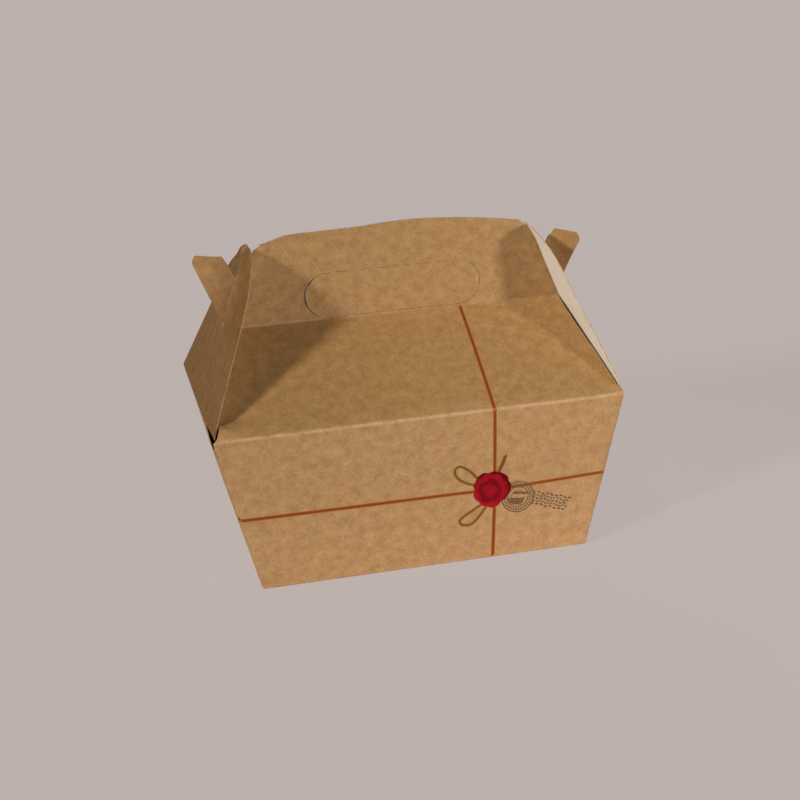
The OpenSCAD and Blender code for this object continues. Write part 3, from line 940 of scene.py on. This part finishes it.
# %% Printed shapes
def printed(name, points, faces, lift, material):
    """A flat shape of the blank as a mesh object, folded and relaxed like the board and lifted off it."""
    points = np.asarray(points, float)[:, :2]
    place, normal = fold(points)
    place = relaxed(place) + normal * (BOARD / 2 + lift)
    mesh = bpy.data.meshes.new(name)
    mesh.from_pydata((place * MM).tolist(), [], [list(f) for f in faces])
    mark_blank(mesh, points)
    mesh.materials.append(material)
    mesh.update()
    turned = [p.index for p in mesh.polygons if p.normal.dot(Vector(normal[p.vertices[0]])) < 0]
    if turned and len(turned) == len(mesh.polygons):
        mesh.flip_normals()
    elif turned:
        print(name, "has mixed faces", len(turned))
    return in_scene(name, mesh)


def ribbon(line, width, step=2.0):
    """Points and faces of a band along a line of the blank, with rows wherever it crosses a crease."""
    line = np.array(spaced(line, step))
    marks = [-r for r in crease_rows(wrap_runs, (EAVES_BEND,))]
    dense = [line[0]]
    for a, b in zip(line, line[1:]):
        cuts = []
        if a[1] != b[1]:
            cuts = sorted((m - a[1]) / (b[1] - a[1]) for m in marks if (m - a[1]) * (m - b[1]) < 0)
        dense += [a + (b - a) * t for t in cuts] + [b]
    line = np.array(dense)
    way = np.gradient(line, axis=0)
    way /= np.linalg.norm(way, axis=1)[:, None]
    across = np.column_stack([-way[:, 1], way[:, 0]]) * width / 2
    points = np.concatenate([line + across, line - across])
    n = len(line)
    return points, [[i, i + n, i + n + 1, i + 1] for i in range(n - 1)]


def curved(points, steps=8):
    """A smooth line through the points (Catmull-Rom)."""
    p = [np.array(q, float) for q in points]
    p = [2 * p[0] - p[1]] + p + [2 * p[-1] - p[-2]]
    made = []
    for a, b, c, d in zip(p, p[1:], p[2:], p[3:]):
        for t in np.linspace(0, 1, steps, endpoint=False):
            made.append(0.5 * (2 * b + (c - a) * t + (2 * a - 5 * b + 4 * c - d) * t ** 2
                               + (3 * b - a - 3 * c + d) * t ** 3))
    return made + [p[-2]]


print("a ribbon 10 mm long has", len(ribbon([[0, 0], [10, 0]], 1.0)[1]), "faces")


# %% Geometry Nodes: strokes along a line
def stroke_tree():
    """Node group that sets a leaf-shaped stroke at even steps along the lines it is given."""
    tree = bpy.data.node_groups.new("strokes_along_line", "GeometryNodeTree")
    face = tree.interface
    face.new_socket("Geometry", in_out="INPUT", socket_type="NodeSocketGeometry")
    for name, value in (("Pitch", 0.0015), ("Length", 0.0024), ("Width", 0.0007), ("Slant", 0.6)):
        face.new_socket(name, in_out="INPUT", socket_type="NodeSocketFloat").default_value = value
    face.new_socket("Ink", in_out="INPUT", socket_type="NodeSocketMaterial")
    face.new_socket("Geometry", in_out="OUTPUT", socket_type="NodeSocketGeometry")
    given = tree.nodes.new("NodeGroupInput").outputs
    line = add(tree, "GeometryNodeMeshToCurve", None, {"Mesh": given["Geometry"]}).outputs[0]
    steps = add(tree, "GeometryNodeCurveToPoints", {"mode": "LENGTH"},
                {"Curve": line, "Length": given["Pitch"]})
    ring = add(tree, "GeometryNodeCurvePrimitiveCircle", None,
               {"Resolution": 8, "Radius": 0.5}).outputs["Curve"]
    leaf = add(tree, "GeometryNodeFillCurve", {"mode": "NGONS"}, {"Curve": ring}).outputs[0]
    size = add(tree, "ShaderNodeCombineXYZ", None,
               {"X": given["Length"], "Y": given["Width"], "Z": 1.0}).outputs[0]
    along = add(tree, "FunctionNodeAlignRotationToVector", {"axis": "X", "pivot_axis": "Z"},
                {"Vector": steps.outputs["Tangent"]}).outputs[0]
    turn = add(tree, "ShaderNodeCombineXYZ", None, {"Z": given["Slant"]}).outputs[0]
    turned = add(tree, "FunctionNodeRotateRotation", {"rotation_space": "LOCAL"},
                 {"Rotation": along, "Rotate By": turn})
    placed = add(tree, "GeometryNodeInstanceOnPoints", None,
                 {"Points": steps.outputs["Points"], "Instance": leaf,
                  "Rotation": turned.outputs[0], "Scale": size})
    real = add(tree, "GeometryNodeRealizeInstances", None, {"Geometry": placed.outputs[0]}).outputs[0]
    inked = add(tree, "GeometryNodeSetMaterial", None,
                {"Geometry": real, "Material": given["Ink"]}).outputs[0]
    add(tree, "NodeGroupOutput", None, {0: inked})
    return tree


STROKES = stroke_tree()
print("nodes that repeat a stroke:", len(STROKES.nodes))


def strokes(line, pitch, length, width, slant, ink):
    """Points and faces, in millimetres of the blank, of strokes along a line."""
    mesh = bpy.data.meshes.new("line")
    line = np.column_stack([np.array(line), np.zeros(len(line))]) * MM
    mesh.from_pydata(line.tolist(), [(i, i + 1) for i in range(len(line) - 1)], [])
    guide = in_scene("line", mesh)
    nodes = guide.modifiers.new("strokes", "NODES")
    nodes.node_group = STROKES
    values = {"Pitch": pitch * MM, "Length": length * MM, "Width": width * MM, "Slant": slant, "Ink": ink}
    for item in STROKES.interface.items_tree:
        if item.in_out == "INPUT" and item.name in values:
            nodes[item.identifier] = values[item.name]
    bake(guide)
    made = np.array([list(v.co) for v in guide.data.vertices]) / MM
    faces = [list(p.vertices) for p in guide.data.polygons]
    bpy.data.objects.remove(guide)
    return made, faces


# %% Twine across the carton
def joined(parts):
    """One object from several, kept under the first one's name."""
    name = parts[0].name
    vertices, faces, spots, slots_used, materials = [], [], [], [], []
    for part in parts:
        start, material = len(vertices), part.data.materials[0]
        if material not in materials:
            materials.append(material)
        vertices += [list(v.co) for v in part.data.vertices]
        spots += [list(v.vector) for v in part.data.attributes["blank"].data]
        faces += [[start + i for i in p.vertices] for p in part.data.polygons]
        slots_used += [materials.index(material)] * len(part.data.polygons)
        bpy.data.objects.remove(part)
    mesh = bpy.data.meshes.new(name)
    mesh.from_pydata(vertices, [], faces)
    spots = np.array(spots, np.float32).ravel()
    mesh.attributes.new("blank", "FLOAT_VECTOR", "POINT").data.foreach_set("vector", spots)
    for material in materials:
        mesh.materials.append(material)
    mesh.polygons.foreach_set("material_index", slots_used)
    mesh.polygons.foreach_set("use_smooth", [True] * len(faces))
    return in_scene(name, mesh)


def wall_spot(x, z):
    """[x, y] of the blank for a place on the front wall."""
    return [x, -wrap_at(WALL, z)]


def wall_curve(places):
    """A smooth line of the blank through places [x, z] on the front wall."""
    return curved([wall_spot(*p) for p in places])


def finished(parts):
    """Parts of one print as a single piece that belongs to the carton."""
    piece = joined(parts)
    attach(piece, "carton")
    print(piece.name, len(piece.data.polygons), "faces")


# A strand's length and width as shares of the twine's width, its slant and its lift off the band.
STRAND_L, STRAND_W, STRAND_SLANT, STRAND_LIFT = 1.3, 0.36, 0.62, 0.03


def twine(name, line, width, pitch, band, strand, lift):
    """A band along a line, and the slanting strokes on it that are its strands."""
    parts = [printed(name, *ribbon(line, width), lift, band)]
    flat, faces = strokes(line, pitch, width * STRAND_L, width * STRAND_W, STRAND_SLANT, strand)
    parts.append(printed(name + "_strands", flat, faces, lift + STRAND_LIFT, strand))
    return parts


upright = spaced([[40.0, -wrap_at(ROOF, RIDGE_Z - 1.0)], [41.4, -wrap_at(ROOF, WALL_H + 0.5)],
                  wall_spot(41.3, 80), wall_spot(40.6, 35), wall_spot(39.4, 0.9)], 2.0)
level = wall_curve([(-108.5, 46.2), (-107.6, 45.4), (-104.0, 45.1), (-60, 45.0), (8, 44.7), (28, 44.4),
                    (50, 44.3), (64, 44.7), (88, 45.4), (108.6, 46.0)])
twines = twine("print_twine_upright", upright, 2.4, 1.55, twine_band, twine_strand, 0.04)
twines += twine("print_twine_level", level, 2.35, 1.55, twine_band, twine_strand, 0.05)
finished(twines)

# %% Bow behind the seal
upper_loop = wall_curve([(33.5, 50.5), (29.6, 53.6), (26.0, 57.7), (20.8, 61.2), (17.6, 60.4), (17.0, 57.4),
                         (18.6, 54.4), (21.4, 51.9), (25.0, 50.0), (31.0, 47.4)])
lower_loop = wall_curve([(35.0, 37.0), (31.2, 34.9), (26.3, 32.0), (21.9, 29.4), (19.4, 27.0), (20.3, 24.7),
                         (23.4, 23.6), (26.6, 24.0), (29.3, 26.0), (32.1, 29.4), (36.5, 35.5)])
tail = wall_curve([(42.2, 52.0), (43.8, 56.3), (45.7, 59.9), (47.3, 64.3)])
bow = []
for label, line, width in (("", upper_loop, 1.95), ("_lower", lower_loop, 1.95), ("_tail", tail, 2.7)):
    bow += twine("print_bow" + label, line, width, 1.2, thread_band, thread_strand, 0.06)
finished(bow)

# %% [markdown]
# ## The print: seal and postmark
#
# The seal is a printed picture of a wax seal, with a bare centre. Its shape is a circle whose radius wobbles,
# as wax does when it is pressed. Its reds are a function of the distance from its middle and of the side that
# the picture's own light falls on. The postmark is rings with ticks between them, plain bars and five wavy
# rows of dashes, with no lettering.

# %% Seal
SEAL = wall_spot(39.0, 44.8)
SEAL_R = 11.3


# Stops of the seal's colour, from its middle to its rim: the bare centre, the groove round it and the rim.
WAX_STOPS = [(0.0, "#9a1020"), (0.34, "#900c1a"), (0.5, "#6a0610"), (0.6, "#840a17"), (0.74, "#9c0f1f"),
             (0.9, "#8e0b18"), (1.0, "#5c0409")]
WAX_LIGHT = "#b4202e"


def wax_material():
    """Ink in the reds of sealing wax, which give the eye a dished disc with a lit rim. Matt, as ink is."""
    material, tree = empty_material("printed_ink_wax_red")
    blank = add(tree, "ShaderNodeAttribute", {"attribute_name": "blank"}).outputs["Vector"]
    centred = add(tree, "ShaderNodeVectorMath", {"operation": "SUBTRACT"},
                  {0: blank, 1: (SEAL[0] * MM, SEAL[1] * MM, 0)}).outputs[0]
    unit = add(tree, "ShaderNodeVectorMath", {"operation": "SCALE"},
               {0: centred, "Scale": 1000 / SEAL_R}).outputs[0]
    lumps = add(tree, "ShaderNodeTexNoise", None,
                {"Vector": unit, "Scale": 2.4, "Detail": 3.0}).outputs["Fac"]
    pressed = add(tree, "ShaderNodeVectorMath", {"operation": "ADD"},
                  {0: unit, 1: (0.1, -0.08, 0)}).outputs[0]
    far = add(tree, "ShaderNodeVectorMath", {"operation": "LENGTH"}, {0: pressed}).outputs["Value"]
    shift = add(tree, "ShaderNodeMapRange", None,
                {"Value": lumps, "To Min": -0.32, "To Max": 0.32}).outputs[0]
    ringed = add(tree, "ShaderNodeMath", {"operation": "ADD"}, {0: far, 1: shift}).outputs[0]
    ramp = add(tree, "ShaderNodeValToRGB", None, {0: ringed})
    ramp.color_ramp.elements[0].position, ramp.color_ramp.elements[1].position = 0.0, 1.0
    for at, code in WAX_STOPS[1:-1]:
        ramp.color_ramp.elements.new(at)
    for element, (at, code) in zip(ramp.color_ramp.elements, WAX_STOPS):
        element.position, element.color = at, linear(code)
    lit_side = add(tree, "ShaderNodeVectorMath", {"operation": "DOT_PRODUCT"},
                   {0: unit, 1: (-0.55, 0.8, 0)}).outputs["Value"]
    rim = add(tree, "ShaderNodeMapRange", None,
              {"Value": ringed, "From Min": 0.66, "From Max": 0.8}).outputs[0]
    well = add(tree, "ShaderNodeMapRange", None,
               {"Value": ringed, "From Min": 0.6, "From Max": 0.4, "To Min": 0.0, "To Max": -1.0}).outputs[0]
    sign = add(tree, "ShaderNodeMath", {"operation": "ADD"}, {0: rim, 1: well}).outputs[0]
    glow = add(tree, "ShaderNodeMath", {"operation": "MULTIPLY"}, {0: lit_side, 1: sign}).outputs[0]
    streaks = add(tree, "ShaderNodeTexNoise", None,
                  {"Vector": unit, "Scale": 6.0, "Detail": 3.0}).outputs["Fac"]
    broken = add(tree, "ShaderNodeMath", {"operation": "MULTIPLY"}, {0: glow, 1: streaks}).outputs[0]
    light = add(tree, "ShaderNodeMapRange", None,
                {"Value": broken, "From Min": 0.1, "From Max": 0.55, "To Max": 0.75}).outputs[0]
    colour = add(tree, "ShaderNodeMix", {"data_type": "RGBA"},
                 {0: light, 6: ramp.outputs[0], 7: linear(WAX_LIGHT)}).outputs[2]
    shader = add(tree, "ShaderNodeBsdfPrincipled", None,
                 {"Base Color": colour, "Roughness": 0.62, "IOR": 1.45, "Specular IOR Level": 0.06})
    add(tree, "ShaderNodeOutputMaterial", None, {"Surface": shader.outputs[0]})
    return material


angles = np.linspace(0, 2 * math.pi, 96, endpoint=False)
# Waves of the rim: (number round the circle, height as a share of the radius, phase).
RIM_WAVES = [(3, 0.035, 0.9), (5, 0.028, -1.2), (9, 0.022, 0.0), (14, 0.012, 2.0)]
wobble = 1 + sum(height * np.cos(count * angles + phase) for count, height, phase in RIM_WAVES)
seal_loop = np.array(SEAL) + SEAL_R * wobble[:, None] * np.column_stack([np.cos(angles), np.sin(angles)])
grid = np.array([[SEAL[0] + i, SEAL[1] + j] for i in range(-12, 13, 3) for j in range(-12, 13, 3)], float)
flat, faces = triangulated([seal_loop], grid)
seal_print = printed("print_seal", flat, faces, 0.14, wax_material())
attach(seal_print, "carton")
print(seal_print.name, len(faces), "faces")

# %% Postmark
stamp_ink = ink_material("printed_ink_stamp_grey_brown", "#69503a", "#a98560", 0.42, 1.3)
RING = np.array([54.9, 37.6])


def circle_line(radius, steps=72):
    """A circle of the postmark, as a line of the blank."""
    return [wall_spot(RING[0] + radius * math.cos(a), RING[1] + radius * math.sin(a))
            for a in np.linspace(0.0, 2 * math.pi, steps)]


marks = []


def mark(shape, lift):
    """Print a shape of the postmark."""
    marks.append(printed("print_postmark", *shape, lift, stamp_ink))


for radius, width in ((9.7, 0.75), (6.3, 0.6), (4.0, 0.4)):
    mark(ribbon(circle_line(radius), width, 1.5), 0.09)
mark(strokes(circle_line(8.0), 1.5, 2.0, 0.95, math.pi / 2, stamp_ink), 0.10)
BARS = ((-0.9, -1.5, 4.8, 1.6), (-1.2, -3.1, 4.4, 1.4), (-0.8, -4.5, 3.2, 0.9), (2.2, 2.1, 4.6, 1.5))
for across, up, half, thick in BARS:
    middle = RING + [across, up]
    ends = [wall_spot(middle[0] - half, middle[1] + 0.6), wall_spot(middle[0] + half, middle[1] - 0.6)]
    mark(ribbon(ends, thick), 0.10)
block = [np.array(p) for p in ((65.2, 40.3), (87.4, 33.2), (83.3, 24.0), (63.6, 31.4))]
away = (block[0] - block[3]) / np.linalg.norm(block[0] - block[3])
dash_lengths = (2.5, 1.6, 2.1, 1.4, 2.3)
for k, length in enumerate(dash_lengths):
    t = (k + 0.5) / len(dash_lengths)
    a, b = block[0] + (block[3] - block[0]) * t, block[1] + (block[2] - block[1]) * t
    along = np.linspace(0.03 * (k % 2), 1 - 0.04 * (k % 3), 60)
    wave = [a + (b - a) * u + away * 0.4 * math.sin(u * 19 + 0.9 * k) for u in along]
    mark(strokes([wall_spot(*p) for p in wave], length + 0.45, length, 1.25, 0.0, stamp_ink), 0.10)
finished(marks)

# %% [markdown]
# ## Stage
#
# A plain pale floor. Its colour towards the camera comes mostly from a flat light of its own, which the
# Light Path node shows to camera rays only, so it stays even and still keeps the object's soft shadow.
# The world does the same: the backdrop's colour for the camera, for mirrored rays and through glass, and a
# dim warm fill for everything else.

# %% Floor and world
BACKDROP = "#bbb0ac"
floor_mesh = bpy.data.meshes.new("floor")
floor_mesh.from_pydata([(-8, -8, 0), (8, -8, 0), (8, 8, 0), (-8, 8, 0)], [], [(0, 1, 2, 3)])
floor = in_scene("floor", floor_mesh)
paper, tree = empty_material("paper_backdrop")
seen = add(tree, "ShaderNodeLightPath").outputs["Is Camera Ray"]
colour = linear(BACKDROP)
plain = add(tree, "ShaderNodeBsdfDiffuse", None, {"Color": linear("#e6dfda")}).outputs[0]
dim = add(tree, "ShaderNodeBsdfDiffuse", None, {"Color": [c * 0.2 for c in colour[:3]] + [1]}).outputs[0]
glow = add(tree, "ShaderNodeEmission", None, {"Color": colour, "Strength": 0.915}).outputs[0]
lit = add(tree, "ShaderNodeAddShader", None, {0: dim, 1: glow}).outputs[0]
shown = add(tree, "ShaderNodeMixShader", None, {0: seen, 1: plain, 2: lit}).outputs[0]
add(tree, "ShaderNodeOutputMaterial", None, {"Surface": shown})
floor_mesh.materials.append(paper)

world = bpy.data.worlds.new("studio")
world.use_nodes = True
world.node_tree.nodes.clear()
tree = world.node_tree
path = add(tree, "ShaderNodeLightPath").outputs
seen = path["Is Camera Ray"]
for kind in ("Is Glossy Ray", "Is Transmission Ray"):
    seen = add(tree, "ShaderNodeMath", {"operation": "MAXIMUM"}, {0: seen, 1: path[kind]}).outputs[0]
fill = add(tree, "ShaderNodeBackground", None, {"Color": (1.0, 0.9, 0.76, 1), "Strength": 0.03}).outputs[0]
pale = add(tree, "ShaderNodeBackground", None, {"Color": linear(BACKDROP), "Strength": 1.0}).outputs[0]
mixed = add(tree, "ShaderNodeMixShader", None, {0: seen, 1: fill, 2: pale}).outputs[0]
add(tree, "ShaderNodeOutputWorld", None, {"Surface": mixed})
bpy.context.scene.world = world
bpy.context.scene.view_settings.view_transform = "Standard"
print("backdrop", BACKDROP)

# %% [markdown]
# ## Lights and camera
#
# Six lamps, whose strengths and directions were fitted to the brightness of the panels in the photograph.
#
# - left_key, a sun, throws the shadow of the left flap across the roof and handle.
# - left_flap_key lights the left flap and its crease strip. Light linking keeps left_key off those two, as
#   they are darker in the photograph than left_key would leave them, and left_flap_key off all the rest.
# - right_key, low at the right of the camera, lights the front and throws the shadow of the right flap.
# - roof_top is a narrow spot on the right end of the roof.
# - front_fill is faint and very wide. back_fill lights the back, which only the other views show.
#
# The camera was fitted to corners and creases of the photograph. It looks down by about 22 degrees from
# the front left.

# %% Lights and camera
def soft_sun(name, travels, strength, angle, colour):
    """A sun lamp whose light travels in a direction. strength 1 shows a facing surface in its own colour."""
    lamp = bpy.data.lights.new(name, "SUN")
    lamp.energy = strength * math.pi
    lamp.angle = math.radians(angle)
    lamp.color = colour
    made = in_scene(name, lamp)
    made.rotation_euler = Vector(travels).to_track_quat("-Z", "Y").to_euler()
    return made


def soft_spot(name, place, aim, strength, radius, cone, colour):
    """A soft spot lamp. strength 1 shows a surface that faces it, at the aim, in its own colour."""
    away = Vector(place) - Vector(aim)
    lamp = bpy.data.lights.new(name, "SPOT")
    lamp.energy = strength * 4 * math.pi ** 2 * away.length_squared
    lamp.shadow_soft_size = radius
    lamp.spot_size = math.radians(cone)
    lamp.spot_blend = 0.6
    lamp.color = colour
    made = in_scene(name, lamp)
    made.location = place
    made.rotation_euler = away.to_track_quat("Z", "Y").to_euler()
    made.visible_camera = False
    return made


def lights_only(lamp, pieces, state):
    """Light linking: the lamp reaches only these pieces (INCLUDE) or everything but them (EXCLUDE)."""
    group = bpy.data.collections.new(lamp.name + "_" + state.lower())
    for piece in pieces:
        group.objects.link(piece)
    for entry in group.collection_objects:
        entry.light_linking.link_state = state
    lamp.light_linking.receiver_collection = group


WHITE, KEY_WHITE, AMBER = (1.0, 0.985, 0.97), (1.0, 0.975, 0.93), (1.0, 0.85, 0.62)
shaded = [bpy.data.objects["left_end_flap_sheet"], bpy.data.objects["left_flap_crease"]]
lights_only(soft_sun("left_key", (1.9, 1.0, -1.0), 0.75, 8, KEY_WHITE), shaded, "EXCLUDE")
flap_key = soft_spot("left_flap_key", (-0.35, -0.15, 0.55), (-0.09, -0.01, 0.165), 0.35, 0.03, 50, AMBER)
lights_only(flap_key, shaded, "INCLUDE")
soft_spot("right_key", (0.82, -1.0, 0.15), (0, -0.04, 0.09), 0.52, 0.09, 40, WHITE)
soft_spot("roof_top", (-0.236, -0.166, 0.955), (0.085, -0.03, 0.125), 0.13, 0.05, 18, WHITE)
soft_sun("front_fill", (-0.12, 1.0, -0.06), 0.07, 40, WHITE)
soft_sun("back_fill", (0.0, -1.0, -0.2), 0.5, 20, WHITE)

CAMERA_AT = (-0.2075, -0.8747, 0.4367)
CAMERA_FORWARD, CAMERA_RIGHT = (0.2164, 0.9039, -0.3691), (0.9695, -0.2435, -0.0279)
camera_data = bpy.data.cameras.new("camera")
camera_data.lens = 72.0
camera_data.sensor_width = 36.0
camera_data.clip_start = 0.05
camera = in_scene("camera", camera_data)
forward = Vector(CAMERA_FORWARD).normalized()
right = Vector(CAMERA_RIGHT).normalized()
above = right.cross(forward).normalized()
turn = Matrix((right, above, -forward)).transposed()
camera.matrix_world = Matrix.Translation(CAMERA_AT) @ turn.to_4x4()
bpy.context.scene.camera = camera
print("camera at", [round(v, 3) for v in camera.location])
